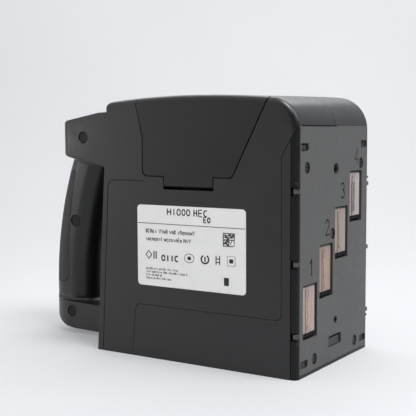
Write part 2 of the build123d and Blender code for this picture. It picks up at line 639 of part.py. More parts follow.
def make_contact_board(y, z):
    """A small contact board let into the stall floor, with its row of sprung pins under the tank."""
    board_z = z - STALL_Z / 2 - STALL_FLOOR + 0.2
    with BuildPart() as contact_board:
        with Locations((104.0, y, board_z)):
            Box(CONTACT_SIZE[0], CONTACT_SIZE[1], 1.6, align=STARTING)
        with Locations((104.0, y, board_z + 1.6)):
            with GridLocations(3.0, 2.6, 3, 5):
                Cylinder(0.5, 0.5, align=STARTING)
    return contact_board.part


def make_latch_lever(y, z):
    """The lever behind a cartridge: an arm that presses on the tank, a barrel and a finger tip."""
    x = LEVER_PIVOT[0]
    pivot_z = z + LEVER_PIVOT[1]
    arm_x = CARTRIDGE_BACK_X - 0.3
    with BuildPart() as latch_lever:
        with BuildSketch(side_plane(y)):
            with BuildLine():
                Polyline((x, pivot_z + 3.2), (x - 12, pivot_z + 9.0), (x - 13, pivot_z + 7.0),
                         (arm_x - 3.2, pivot_z + 1.0), (arm_x - 3.2, pivot_z - 27.0), (arm_x, pivot_z - 27.0),
                         (arm_x, pivot_z - 5.0), (x, pivot_z - 3.2), close=True)
            make_face()
            with Locations((x, pivot_z)):
                Circle(3.4)
                Circle(LEVER_PIN_RADIUS + PIN_CLEARANCE, mode=Mode.SUBTRACT)
        extrude(amount=LEVER_WIDTH / 2, both=True)
    return latch_lever.part


for number, (head_y, head_z) in enumerate(HEAD_CENTRES, start=1):
    save(make_cartridge(head_y, head_z), f"cartridge_{number}")
    save(make_nozzle_plate(head_y, head_z), f"nozzle_plate_{number}")
    save(make_contact_board(head_y, head_z), f"contact_board_{number}")
    save(make_latch_lever(head_y, head_z), f"latch_lever_{number}")

with BuildPart() as latch_pins:
    with Locations(*[(LEVER_PIVOT[0], y, z + LEVER_PIVOT[1]) for y, z in HEAD_CENTRES]):
        Cylinder(LEVER_PIN_RADIUS, 2 * EAR_Y + EAR_THICKNESS, rotation=SIDEWAYS)
save(latch_pins.part, "latch_pins")

with BuildPart() as ribbon_cables:
    ribbon_x = (BOARD_X + 2.4, 98.0)
    with Locations(*[(ribbon_x[0], y, z - STALL_Z / 2 - STALL_FLOOR - 0.9) for y, z in HEAD_CENTRES]):
        Box(ribbon_x[1] - ribbon_x[0], 10.0, 0.4, align=(Align.MIN, Align.CENTER, Align.CENTER))
save(ribbon_cables.part, "ribbon_cables")


# ------------------------------------------------------------------ electronics
with BuildPart() as main_board:
    with BuildSketch(front_plane(BOARD_X)):
        with Locations((-1.0, 76.0)):
            RectangleRounded(102.0, 124.0, 3.0)
        with Locations(*BOARD_SCREWS):
            Circle(SCREW_RADIUS + 0.2, mode=Mode.SUBTRACT)
    extrude(amount=1.6)
save(main_board.part, "main_board")

with BuildPart() as board_chips:
    with BuildSketch(front_plane(BOARD_X + 1.6)):
        with Locations((-20.0, 60.0), (18.0, 110.0)):
            Rectangle(17.0, 17.0)
        with Locations((24.0, 40.0), (-28.0, 120.0), (30.0, 78.0)):
            Rectangle(10.0, 7.0)
    extrude(amount=1.4)
save(board_chips.part, "board_chips")

with BuildPart() as board_posts:
    with BuildSketch(REAR_PLANE.offset(-WALL)):
        with Locations(*rear_spots(BOARD_SCREWS)):
            Circle(3.2)
    extrude(amount=-30)
    split(bisect_by=Plane.YZ.offset(BOARD_X - 0.05), keep=Keep.BOTTOM)
save(board_posts.part, "board_posts")

with BuildPart() as board_screws:
    with Locations(*[(BOARD_X + 1.6, y, z) for y, z in BOARD_SCREWS]):
        Cylinder(2.6, 1.8, rotation=FORWARDS, align=STARTING)
        Cylinder(SCREW_RADIUS, 1.6, rotation=(0, -90, 0), align=STARTING)
save(board_screws.part, "board_screws")

with BuildPart() as battery_pack:
    with Locations((55.0, 40.0, 27.0)):
        Box(74.0, 26.0, 38.0)
    fillet(battery_pack.edges().filter_by(Axis.X), radius=6.0)
save(battery_pack.part, "battery_pack")

with BuildPart() as battery_tray:
    with Locations((55.0, 40.0, WALL + 0.1)):
        Box(80.0, 32.0, 2.4, align=STARTING)
    with Locations((16.0, 40.0, WALL + 0.1), (94.0, 40.0, WALL + 0.1)):
        Box(2.0, 32.0, 18.0, align=STARTING)
save(battery_tray.part, "battery_tray")

with BuildPart() as display_module:
    with BuildSketch(side_plane(HALF_Y - WALL - 0.2)):
        with Locations((SCREEN_X, SCREEN_Z)):
            Rectangle(SCREEN_SIZE[0] - 2, SCREEN_SIZE[1] - 2)
    extrude(amount=4.0)
save(display_module.part, "display_module")

with BuildPart() as touch_glass:
    with BuildSketch(side_plane(HALF_Y)):
        with Locations((SCREEN_X, SCREEN_Z)):
            RectangleRounded(SCREEN_SIZE[0] - 0.6, SCREEN_SIZE[1] - 0.6, 4.7)
    extrude(amount=GLASS_RECESS - 0.1)
save(touch_glass.part, "touch_glass")

with BuildPart() as power_button:
    with Locations((POWER_X, HALF_Y, POWER_Z)):
        Cylinder(POWER_RADIUS, WALL + 0.4, rotation=(90, 0, 0), align=STARTING)
    with Locations((POWER_X, HALF_Y - WALL - 0.3, POWER_Z)):
        Cylinder(POWER_RADIUS + 1.5, 1.0, rotation=(90, 0, 0), align=STARTING)
        Cylinder(2.0, 2.4, rotation=(90, 0, 0), align=STARTING)
save(power_button.part, "power_button")

with BuildPart() as power_switch:
    with Locations((POWER_X, HALF_Y - WALL - 4.2, POWER_Z)):
        Box(8.0, 3.0, 8.0, align=(Align.CENTER, Align.MAX, Align.CENTER))
    with Locations((POWER_X, HALF_Y - WALL - 7.2, POWER_Z - 6.0)):
        Box(14.0, 1.6, 26.0, align=(Align.CENTER, Align.MAX, Align.CENTER))
save(power_switch.part, "power_switch")

with BuildPart() as dc_jack:
    with BuildSketch(REAR_PLANE.offset(-PORT_RECESS - 0.2)):
        with Locations(*rear_spots([(PORT_Y, PORT_Z + JACK_RISE)])):
            Rectangle(*JACK_SIZE)
            Circle(2.9, mode=Mode.SUBTRACT)
    extrude(amount=-9.0)
    with BuildSketch(REAR_PLANE.offset(-PORT_RECESS - 9.2)):
        with Locations(*rear_spots([(PORT_Y, PORT_Z + JACK_RISE)])):
            Rectangle(*JACK_SIZE)
    extrude(amount=-3.0)
    with BuildSketch(REAR_PLANE.offset(-PORT_RECESS - 9.2)):
        with Locations(*rear_spots([(PORT_Y, PORT_Z + JACK_RISE)])):
            Circle(1.0)
    extrude(amount=7.5)
save(dc_jack.part, "dc_jack")

with BuildPart() as usb_port:
    with BuildSketch(REAR_PLANE.offset(-PORT_RECESS - 0.2)):
        with Locations(*rear_spots([(PORT_Y, PORT_Z - USB_DROP)])):
            RectangleRounded(*USB_SIZE, 0.6)
            RectangleRounded(USB_SIZE[0] - 0.8, USB_SIZE[1] - 0.8, 0.4, mode=Mode.SUBTRACT)
            Rectangle(1.4, USB_SIZE[1] - 2.4)
    extrude(amount=-9.0)
    with BuildSketch(REAR_PLANE.offset(-PORT_RECESS - 9.2)):
        with Locations(*rear_spots([(PORT_Y, PORT_Z - USB_DROP)])):
            RectangleRounded(*USB_SIZE, 0.6)
    extrude(amount=-1.0)
save(usb_port.part, "usb_port")

with BuildPart() as port_flap:
    with BuildSketch(REAR_PLANE):
        with Locations(*rear_spots([(PORT_Y, PORT_Z + 0.6)])):
            RectangleRounded(PORT_SIZE[0], PORT_SIZE[1] - 1.2, 1.2)
    extrude(amount=-1.6)
    with Locations(FLAP_HINGE):
        Cylinder(FLAP_BARREL, PORT_SIZE[0], rotation=SIDEWAYS)
        Cylinder(FLAP_PIN_RADIUS + PIN_CLEARANCE, PORT_SIZE[0] + 2, rotation=SIDEWAYS, mode=Mode.SUBTRACT)
save(port_flap.part, "port_flap")

with BuildPart() as port_flap_pin:
    with Locations(FLAP_HINGE):
        Cylinder(FLAP_PIN_RADIUS, PORT_SIZE[0] + 3, rotation=SIDEWAYS)
save(port_flap_pin.part, "port_flap_pin")


# ------------------------------------------------------------------ handle
def spine_point(z):
    """A point on the grip's bowed centre line, at height z."""
    return (SPINE_X + SPINE_RADIUS - sqrt(SPINE_RADIUS**2 - (z - SPINE_Z) ** 2), 0, z)


def upper_arm_outline(inset):
    """The head of the handle in side view, sloping down to the back."""
    with BuildSketch(Plane.XZ) as outline:
        with BuildLine():
            Polyline(
                (-10.0, 189.5 - inset), (-70.0, 186.4 - inset), (-112.0 + inset, 179.0 - inset),
                (-112.0 + inset, 151.5 + inset), (-88.0, 146.2 + inset), (-10.0, 130.0 + inset), close=True,
            )
        make_face()
        back = outline.vertices().group_by(Axis.X)[0]
        fillet(back, radius=6.0 - inset)
    return outline.sketch


def lower_arm_outline(inset):
    """The foot of the handle in side view, with its big round heel."""
    with BuildSketch(Plane.XZ) as outline:
        with BuildLine():
            Polyline(
                (-10.0, ARM_TOP_Z - inset), (-60.0, ARM_TOP_Z - inset),
                (HEEL_X + inset, ARM_TOP_Z + 2 - inset), (HEEL_X + inset, 4.6 + inset),
                (-10.0, 2.2 + inset), close=True,
            )
        make_face()
        heel = outline.vertices().group_by(Axis.X)[0].sort_by(Axis.Y)[0]
        fillet(heel, radius=20.0 - inset)
    return outline.sketch


def heel_cut(inset):
    """What the big round heel takes off the handle's lower back corner, in side view."""
    reach, rise = HEEL_REACH - inset, HEEL_RISE - inset
    with BuildSketch(Plane.XZ) as outline:
        with BuildLine():
            Polyline(
                (HEEL_CENTRE[0] - reach, HEEL_CENTRE[1]), (-160.0, HEEL_CENTRE[1]), (-160.0, -20.0),
                (HEEL_CENTRE[0], -20.0), (HEEL_CENTRE[0], HEEL_CENTRE[1] - rise),
            )
            EllipticalCenterArc(HEEL_CENTRE, reach, rise, start_angle=180, arc_size=90)
        make_face()
    return outline.sketch


def handle_arm(outline, half_y, back_x, corner, z0, z1):
    """One arm of the handle: a round-ended plan trimmed to its side outline."""
    with BuildPart() as arm:
        with BuildSketch(Plane.XY.offset(z0)):
            with Locations((back_x / 2, 0)):
                RectangleRounded(-back_x, 2 * half_y, corner)
        extrude(amount=z1 - z0)
        extrude(outline, amount=100, both=True, mode=Mode.INTERSECT)
    return arm.part


def handle_grip(inset):
    """The grip: a rounded bar swept along the bowed spine."""
    with BuildPart() as grip:
        with BuildLine() as spine:
            ThreePointArc(spine_point(21.0), spine_point(85.0), spine_point(160.0))
        with BuildSketch(Plane(origin=spine.line @ 0, x_dir=(0, 1, 0), z_dir=spine.line % 0)):
            RectangleRounded(GRIP_Y - 2 * inset, GRIP_X - 2 * inset, 17.0 - inset)
        sweep(path=spine.line)
    return grip.part


with BuildPart() as handle:
    add(handle_arm(upper_arm_outline(0), ARM_HALF_Y, -112.0, 12.0, 120.0, 200.0))
    add(handle_grip(0))
    add(handle_arm(lower_arm_outline(0), ARM_HALF_Y, HEEL_X, 25.0, 0.0, 40.0))
    split(bisect_by=REAR_PLANE.offset(0.05), keep=Keep.TOP)
    for z0, z1, reach, radius in GRIP_JUNCTIONS:
        rim = handle.edges().filter_by(
            lambda e: z0 < e.center().Z < z1 and -125 < e.center().X < -62 and abs(e.center().Y) < reach
        )
        corner = rim.filter_by(lambda e: e.center().X > -105 or abs(e.center().Y) < 17.5 or z1 < 50)
        fillet(corner, radius=radius)
    sides = handle.edges().filter_by(lambda e: abs(e.center().Y) > 24.5 and e.center().Z > 130)
    fillet(sides, radius=2.0)
    extrude(heel_cut(0), amount=60, both=True, mode=Mode.SUBTRACT)

with BuildPart() as handle_room:
    add(handle_arm(upper_arm_outline(HANDLE_WALL), ARM_HALF_Y - HANDLE_WALL, -109.0, 9.0, 120.0, 200.0))
    add(handle_grip(HANDLE_WALL))
    add(handle_arm(lower_arm_outline(HANDLE_WALL), ARM_HALF_Y - HANDLE_WALL, HEEL_X + 3, 22.0, 0.0, 40.0))
    extrude(heel_cut(HANDLE_WALL), amount=60, both=True, mode=Mode.SUBTRACT)
    split(bisect_by=REAR_PLANE.offset(6.0), keep=Keep.TOP)


def pad_outline(gap):
    """The rear pad in side view: the back of the grip, from the heel up to the thumb."""
    with BuildSketch(Plane.XZ) as outline:
        with BuildLine():
            Polyline(
                (-108.3 - gap, 42.0 + gap), (-150.0, 42.0 + gap),
                (-150.0, 138.5 - gap), (-99.0 - gap, 138.5 - gap),
            )
            ThreePointArc((-99.0 - gap, 138.5 - gap), (-106.7 - gap, 93.0), (-108.3 - gap, 42.0 + gap))
        make_face()
        fillet(outline.vertices().group_by(Axis.X)[-1], radius=3.0)
        fillet(outline.vertices().filter_by_position(Axis.Y, 41.9, 42.5).sort_by(Axis.X)[-1], radius=7.0)
    return outline.sketch


# The near half of the handle, with its screw posts and plug seats. The far half mirrors it.
with BuildPart() as handle_near_shell:
    add(handle)
    add(handle_room, mode=Mode.SUBTRACT)
    for x, z, face_y in HANDLE_SCREWS:
        with Locations((x, 1.5 - face_y, z)):
            Cylinder(PLUG_RADIUS + 2.0, face_y - 1.5, rotation=SIDEWAYS, align=STARTING)
    split(bisect_by=Plane.XZ.offset(SEAM_GAP / 2), keep=Keep.TOP)
    extrude(pad_outline(0), amount=60, both=True, mode=Mode.SUBTRACT)
    with BuildSketch(front_plane(-104.0)):
        with Locations((0, THUMB_Z)):
            RectangleRounded(THUMB_SIZE[0] + 0.6, THUMB_SIZE[1] + 0.6, 3.3)
    extrude(amount=-20, mode=Mode.SUBTRACT)
    for x, z, face_y in HANDLE_SCREWS:
        with Locations((x, -face_y, z)):
            Cylinder(PLUG_RADIUS + 0.4, 2 * PLUG_SEAT, rotation=SIDEWAYS, mode=Mode.SUBTRACT)
            Cylinder(HANDLE_SCREW_RADIUS + 0.1, 3 * face_y, rotation=SIDEWAYS, mode=Mode.SUBTRACT)
    with BuildSketch(REAR_PLANE):
        with Locations(*MOUNT_SCREWS):
            Circle(HANDLE_SCREW_RADIUS + PIN_CLEARANCE)
    extrude(amount=9.0, mode=Mode.SUBTRACT)
save(handle_near_shell.part, "handle_near_shell")

with BuildPart() as handle_far_shell:
    mirror(handle_near_shell.part, about=Plane.XZ)
save(handle_far_shell.part, "handle_far_shell")

with BuildPart() as rear_grip_pad:
    add(handle_grip(0))
    add(handle_grip(HANDLE_WALL), mode=Mode.SUBTRACT)
    extrude(pad_outline(SEAM_GAP), amount=60, both=True, mode=Mode.INTERSECT)
save(rear_grip_pad.part, "rear_grip_pad")

with BuildPart() as handle_screws:
    for x, z, face_y in HANDLE_SCREWS:
        with Locations((x, PLUG_SEAT - face_y, z)):
            Cylinder(HANDLE_SCREW_RADIUS, 2 * (face_y - PLUG_SEAT), rotation=SIDEWAYS, align=STARTING)
            Cylinder(3.4, 2.6, rotation=(90, 0, 0), align=STARTING)
save(handle_screws.part, "handle_screws")

with BuildPart() as handle_plugs:
    for x, z, face_y in HANDLE_SCREWS:
        for side in (-1, 1):
            with Locations((x, side * (face_y - PLUG_SINK), z)):
                Cylinder(PLUG_RADIUS, PLUG_THICKNESS, rotation=(side * 90, 0, 0), align=STARTING)
save(handle_plugs.part, "handle_plugs")

with BuildPart() as handle_brackets:
    with BuildSketch(REAR_PLANE.offset(-WALL)):
        with Locations((0, 167.0)):
            RectangleRounded(42.0, 30.0, 3.0)
        with Locations((0, 16.0)):
            RectangleRounded(42.0, 14.0, 3.0)
        with Locations(*MOUNT_SCREWS):
            Circle(HANDLE_SCREW_RADIUS + 0.2, mode=Mode.SUBTRACT)
    extrude(amount=-2.5)
save(handle_brackets.part, "handle_brackets")

with BuildPart() as handle_mount_screws:
    with BuildSketch(REAR_PLANE.offset(-WALL - 2.5)):
        with Locations(*MOUNT_SCREWS):
            Circle(HANDLE_SCREW_RADIUS)
    extrude(amount=WALL + 2.5 + 6.0)
    with BuildSketch(REAR_PLANE.offset(-WALL - 2.5)):
        with Locations(*MOUNT_SCREWS):
            Circle(3.2)
    extrude(amount=-2.2)
save(handle_mount_screws.part, "handle_mount_screws")

with BuildPart() as print_button:
    with BuildSketch(front_plane(-107.0)):
        with Locations((0, THUMB_Z)):
            RectangleRounded(*THUMB_SIZE, 3.0)
    extrude(amount=-(112.0 + THUMB_PROUD - 107.0))
    fillet(print_button.faces().sort_by(Axis.X)[0].edges(), radius=1.2)
    with BuildSketch(front_plane(-107.0)):
        with Locations((0, THUMB_Z)):
            RectangleRounded(THUMB_SIZE[0] + 4, THUMB_SIZE[1] + 1.5, 2.0)
    extrude(amount=-1.7)
save(print_button.part, "print_button")

with BuildPart() as print_switch:
    with Locations((-101.0, 0, THUMB_Z)):
        Box(6.0, 8.0, 8.0)
    with Locations((-104.0, 0, THUMB_Z)):
        Cylinder(1.6, 1.0, rotation=(0, -90, 0), align=STARTING)
    with Locations((-97.4, 0, THUMB_Z)):
        Box(1.2, 16.0, 14.0)
save(print_switch.part, "print_switch")
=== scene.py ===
import json
import math
import random

import bmesh
import bpy
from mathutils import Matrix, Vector


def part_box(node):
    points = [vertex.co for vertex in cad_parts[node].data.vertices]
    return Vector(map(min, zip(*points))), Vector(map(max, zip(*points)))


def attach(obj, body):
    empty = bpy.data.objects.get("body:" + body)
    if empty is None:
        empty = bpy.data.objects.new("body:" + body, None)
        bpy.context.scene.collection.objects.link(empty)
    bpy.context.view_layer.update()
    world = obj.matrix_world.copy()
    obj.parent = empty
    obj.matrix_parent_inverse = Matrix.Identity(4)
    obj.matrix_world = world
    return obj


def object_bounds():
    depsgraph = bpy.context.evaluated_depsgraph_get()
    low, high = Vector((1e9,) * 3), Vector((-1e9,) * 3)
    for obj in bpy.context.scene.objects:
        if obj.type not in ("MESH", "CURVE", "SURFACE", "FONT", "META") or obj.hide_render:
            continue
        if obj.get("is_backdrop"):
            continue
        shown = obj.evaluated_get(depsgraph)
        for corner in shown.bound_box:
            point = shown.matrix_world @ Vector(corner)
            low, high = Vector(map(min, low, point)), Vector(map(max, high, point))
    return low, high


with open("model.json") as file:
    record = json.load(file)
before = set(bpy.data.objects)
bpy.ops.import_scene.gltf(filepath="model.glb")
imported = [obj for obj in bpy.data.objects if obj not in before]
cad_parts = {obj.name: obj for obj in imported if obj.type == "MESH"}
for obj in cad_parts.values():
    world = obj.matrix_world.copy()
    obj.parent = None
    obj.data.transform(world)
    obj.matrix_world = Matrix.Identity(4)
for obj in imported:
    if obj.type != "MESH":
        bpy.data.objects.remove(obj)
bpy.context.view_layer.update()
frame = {"nodes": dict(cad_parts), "record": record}
NODES = frame["nodes"]
SLOT_OF = {part["node"]: part["material_slot"] for part in frame["record"]["subparts"]}
MM = 0.001
HEADS = (1, 2, 3, 4)
INK_AND_SHADE_THICKNESS = 0.012                # of ink, and of dark paint for painted shade, that stands on a face, in mm


# ------------------------------------------------------------------ camera, light and floor
scene = bpy.context.scene
scene.view_settings.view_transform = "Standard"
CAMERA_HEADING = 32.9                  # degrees round from looking along +Y
CAMERA_DROP = 4.8                      # degrees that the camera looks down

camera = bpy.data.objects.new("camera", bpy.data.cameras.new("camera"))
scene.collection.objects.link(camera)
camera.location = (0.4096, -0.59965, 0.1698)
camera.rotation_euler = (math.radians(90 - CAMERA_DROP), math.radians(0.25), math.radians(CAMERA_HEADING))
camera.data.lens = 78.0
camera.data.sensor_width = 36.0
camera.data.clip_start = 0.01
scene.camera = camera

BRIGHT_SIDE = (-0.80, 0.55, 0.22)      # the studio is white behind the object and dim behind the camera
world = bpy.data.worlds.new("studio")
world.use_nodes = True
scene.world = world
sky = world.node_tree.nodes["Background"]
around = world.node_tree.nodes.new("ShaderNodeTexCoord")
facing = world.node_tree.nodes.new("ShaderNodeVectorMath")
facing.operation = "DOT_PRODUCT"
facing.inputs[1].default_value = BRIGHT_SIDE
fade = world.node_tree.nodes.new("ShaderNodeMapRange")
world.node_tree.links.new(around.outputs["Generated"], facing.inputs[0])
world.node_tree.links.new(facing.outputs["Value"], fade.inputs["Value"])
world.node_tree.links.new(fade.outputs["Result"], sky.inputs["Strength"])
fade.inputs["From Min"].default_value = -0.55
fade.inputs["From Max"].default_value = 0.15
fade.inputs["To Min"].default_value = 0.04
fade.inputs["To Max"].default_value = 1.10
sky.inputs["Color"].default_value = (0.99, 0.99, 1.0, 1.0)


def soft_light(name, location, target, size, watts, colour=(1.0, 1.0, 1.0)):
    """A rectangular studio softbox that faces the target."""
    lamp = bpy.data.lights.new(name, "AREA")
    lamp.shape = "RECTANGLE"
    lamp.size, lamp.size_y = size
    lamp.energy = watts
    lamp.color = colour
    box = bpy.data.objects.new(name, lamp)
    box.location = location
    aim = Vector(target) - Vector(location)
    box.rotation_euler = aim.to_track_quat("-Z", "Y").to_euler()
    scene.collection.objects.link(box)


soft_light("key_light", (0.95, 0.25, 0.95), (0.0, 0.0, 0.1), (0.9, 0.6), 6.5, (0.95, 0.98, 1.0))
soft_light("back_light", (-0.30, 0.52, 0.85), (0.05, 0.0, 0.15), (1.1, 0.5), 5.0)
soft_light("top_light", (0.40, -0.13, 1.05), (0.10, -0.04, 0.17), (0.36, 0.36), 9.0, (0.95, 0.98, 1.0))
soft_light("left_light", (-0.95, 0.66, 0.25), (-0.1, 0.0, 0.1), (0.5, 0.8), 10.0)
soft_light("side_light", (-1.20, -0.78, -0.02), (-0.1, 0.0, 0.06), (0.8, 0.5), 3.0)


class Graph:
    """A short way to write the nodes of one material."""

    def __init__(self, name):
        self.material = bpy.data.materials.new(name)
        self.material.use_nodes = True
        self.tree = self.material.node_tree
        self.shader = self.tree.nodes["Principled BSDF"]
        self.place = self.node("ShaderNodeTexCoord").outputs["Object"]

    def node(self, kind, **settings):
        """Adds a node and sets its properties."""
        made = self.tree.nodes.new(kind)
        for key, value in settings.items():
            setattr(made, key, value)
        return made

    def link(self, source, socket):
        self.tree.links.new(source, socket)

    def put(self, socket, value):
        """Sets a socket to a constant, or joins it to another node's output."""
        if isinstance(value, bpy.types.NodeSocket):
            self.link(value, socket)
        else:
            socket.default_value = value

    def stretched(self, scale, turn=(0.0, 0.0, 0.0), shift=(0.0, 0.0, 0.0)):
        """The object's own coordinates, moved, turned and stretched."""
        mapping = self.node("ShaderNodeMapping")
        mapping.inputs["Location"].default_value = shift
        mapping.inputs["Rotation"].default_value = turn
        mapping.inputs["Scale"].default_value = scale
        self.link(self.place, mapping.inputs["Vector"])
        return mapping.outputs["Vector"]

    def noise(self, scale, detail=3.0, roughness=0.55, place=None):
        made = self.node("ShaderNodeTexNoise")
        self.link(place or self.place, made.inputs["Vector"])
        made.inputs["Scale"].default_value = scale
        made.inputs["Detail"].default_value = detail
        made.inputs["Roughness"].default_value = roughness
        return made.outputs["Fac"]

    def cells(self, scale, place=None):
        made = self.node("ShaderNodeTexVoronoi")
        self.link(place or self.place, made.inputs["Vector"])
        made.inputs["Scale"].default_value = scale
        return made.outputs["Distance"]

    def spread(self, value, low, high, start=0.3, end=0.7):
        """A number that goes from low to high while value goes from start to end."""
        made = self.node("ShaderNodeMapRange")
        self.link(value, made.inputs["Value"])
        for key, number in (("From Min", start), ("From Max", end), ("To Min", low), ("To Max", high)):
            made.inputs[key].default_value = number
        return made.outputs["Result"]

    def math(self, operation, first, second=0.0):
        made = self.node("ShaderNodeMath", operation=operation)
        self.put(made.inputs[0], first)
        self.put(made.inputs[1], second)
        return made.outputs["Value"]

    def mix(self, factor, first, second):
        made = self.node("ShaderNodeMix", data_type="RGBA")
        self.put(made.inputs["Factor"], factor)
        self.put(made.inputs["A"], first if isinstance(first, bpy.types.NodeSocket) else (*first, 1.0))
        self.put(made.inputs["B"], second if isinstance(second, bpy.types.NodeSocket) else (*second, 1.0))
        return made.outputs["Result"]

    def bump(self, height, distance, strength=1.0, under=None):
        made = self.node("ShaderNodeBump")
        self.link(height, made.inputs["Height"])
        made.inputs["Distance"].default_value = distance
        made.inputs["Strength"].default_value = strength
        if under is not None:
            self.link(under, made.inputs["Normal"])
        return made.outputs["Normal"]

    def soft_edges(self, radius):
        """A normal that rounds the look of sharp edges."""
        made = self.node("ShaderNodeBevel", samples=4)
        made.inputs["Radius"].default_value = radius
        return made.outputs["Normal"]

    def finish(self, colour=None, roughness=None, normal=None, **constants):
        """Joins the main inputs of the shader and sets the rest to constants."""
        for key, value in (("Base Color", colour), ("Roughness", roughness), ("Normal", normal)):
            if value is not None:
                self.link(value, self.shader.inputs[key])
        for key, value in constants.items():
            self.shader.inputs[key.replace("_", " ")].default_value = value
        return self.material


def moulded(name, colour, gloss=0.45, grain=2400.0, depth=0.00002, mottle=0.18, shine=0.5, edge=0.0007):
    """Moulded plastic: faint clouds in the colour, a fine spark-eroded grain and a little dust."""
    g = Graph(name)
    clouds = g.noise(26.0, 4.0, 0.6)
    fine = g.noise(234.0, 2.0, 0.5)
    dark = tuple(c * (1.0 - mottle) for c in colour)
    light = tuple(c * (1.0 + mottle) for c in colour)
    base = g.mix(g.spread(clouds, 0.0, 1.0), dark, light)
    specks = g.noise(1560.0, 1.0, 0.4)
    dusty = g.mix(g.spread(specks, 0.0, 0.35, 0.66, 0.80), base, tuple(c * 2.4 + 0.01 for c in colour))
    rough = g.math("ADD", g.spread(clouds, gloss - 0.07, gloss + 0.07), g.spread(fine, -0.03, 0.03))
    grained = g.bump(g.noise(grain, 3.0, 0.65), depth, 0.9, g.soft_edges(edge))
    return g.finish(dusty, rough, grained, Specular_IOR_Level=shine)


def metal(name, colour, gloss=0.3, along=(1.0, 1.0, 1.0), grain=900.0, metallic=1.0):
    """Metal with fine drawn lines or a fine even grain, and slightly uneven polish."""
    g = Graph(name)
    lines = g.noise(grain, 4.0, 0.6, g.stretched(along))
    patches = g.noise(90.0, 3.0)
    dull, bright = tuple(c * 0.86 for c in colour), tuple(min(c * 1.08, 1.0) for c in colour)
    base = g.mix(g.spread(patches, 0.0, 1.0), dull, bright)
    rough = g.math("ADD", g.spread(lines, gloss - 0.08, gloss + 0.08), g.spread(patches, -0.04, 0.04))
    normal = g.bump(lines, 0.00001, 0.6, g.soft_edges(0.0002))
    return g.finish(base, rough, normal, Metallic=metallic)


def soft_touch(name, colour):
    """Rubbery overmould: fine pebbled skin, nearly matte, paler where the hand polishes it."""
    g = Graph(name)
    pebbles = g.cells(1500.0)
    worn = g.noise(22.0, 3.0)
    base = g.mix(g.spread(worn, 0.0, 1.0), tuple(c * 0.8 for c in colour), tuple(c * 1.25 for c in colour))
    rough = g.spread(worn, 0.46, 0.58)
    normal = g.bump(pebbles, 0.00003, 0.7, g.soft_edges(0.0004))
    return g.finish(base, rough, normal)


def circuit_board(name):
    """Solder mask with buried copper tracks in two directions."""
    g = Graph(name)
    across = g.noise(160.0, 1.0, 0.3, g.stretched((1.0, 0.08, 1.0)))
    along = g.noise(160.0, 1.0, 0.3, g.stretched((1.0, 1.0, 0.08)))
    tracks = g.math("MAXIMUM", g.spread(across, 0.0, 1.0, 0.55, 0.58), g.spread(along, 0.0, 1.0, 0.57, 0.60))
    base = g.mix(tracks, (0.008, 0.060, 0.022), (0.018, 0.110, 0.040))
    rough = g.spread(g.noise(400.0), 0.25, 0.38)
    return g.finish(base, rough, g.bump(tracks, 0.00002, 0.6, g.soft_edges(0.0002)))


def label_stock(name):
    """White laminated label: nearly even, with a faint film ripple."""
    g = Graph(name)
    ripple = g.noise(60.0, 2.0)
    base = g.mix(g.spread(ripple, 0.0, 1.0), (0.925, 0.915, 0.895), (0.965, 0.955, 0.935))
    rough = g.spread(g.noise(500.0), 0.34, 0.44)
    return g.finish(base, rough, g.bump(ripple, 0.00004, 0.5))


def ink(name, colour, shine=0.5):
    """Printed ink with a slightly uneven coverage."""
    g = Graph(name)
    patches = g.noise(1500.0, 2.0)
    full, thin = tuple(c * 0.8 for c in colour), tuple(min(c * 1.2, 1.0) for c in colour)
    base = g.mix(g.spread(patches, 0.0, 1.0), full, thin)
    return g.finish(base, g.spread(patches, 0.5, 0.7), g.bump(patches, 0.000003, 0.5),
                    Specular_IOR_Level=shine)


def glass(name):
    """Black cover glass: a glossy sheet over a dark display, with faint finger marks."""
    g = Graph(name)
    smears = g.noise(38.0, 4.0, 0.7, g.stretched((1.0, 1.0, 2.2), (0.0, 0.6, 0.0)))
    low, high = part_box("display_module")
    middle, half = (low + high) / 2, (high - low) / 2
    split = g.node("ShaderNodeSeparateXYZ")
    g.link(g.place, split.inputs["Vector"])
    sides = []
    for axis in (0, 2):
        offset = g.math("ABSOLUTE", g.math("SUBTRACT", split.outputs[axis], middle[axis]))
        sides.append(g.spread(offset, 1.0, 0.0, half[axis] - 0.0046, half[axis] - 0.0042))
    active = g.math("MINIMUM", *sides)
    base = g.mix(active, (0.004, 0.004, 0.005), (0.012, 0.016, 0.022))
    rough = g.spread(smears, 0.05, 0.16, 0.4, 0.75)
    return g.finish(base, rough, g.bump(smears, 0.000004, 0.4), IOR=1.52)


def shrink_wrap(name, colour):
    """Heat-shrunk film: fine wrinkles across the pack."""
    g = Graph(name)
    folds = g.noise(150.0, 3.0, 0.6, g.stretched((0.25, 1.0, 1.0)))
    base = g.mix(g.spread(folds, 0.0, 1.0), tuple(c * 0.7 for c in colour), tuple(c * 1.2 for c in colour))
    return g.finish(base, g.spread(folds, 0.22, 0.36), g.bump(folds, 0.0002, 0.6))


def ribbon(name):
    """Flat flexible cable: copper lanes under amber film."""
    g = Graph(name)
    split = g.node("ShaderNodeSeparateXYZ")
    g.link(g.place, split.inputs["Vector"])
    lanes = g.math("SINE", g.math("MULTIPLY", split.outputs[1], 2 * math.pi / 0.001))
    base = g.mix(g.spread(lanes, 0.0, 1.0, 0.0, 0.4), (0.30, 0.14, 0.02), (0.62, 0.36, 0.10))
    return g.finish(base, g.spread(g.noise(300.0), 0.2, 0.32), g.bump(lanes, 0.00003, 0.5))


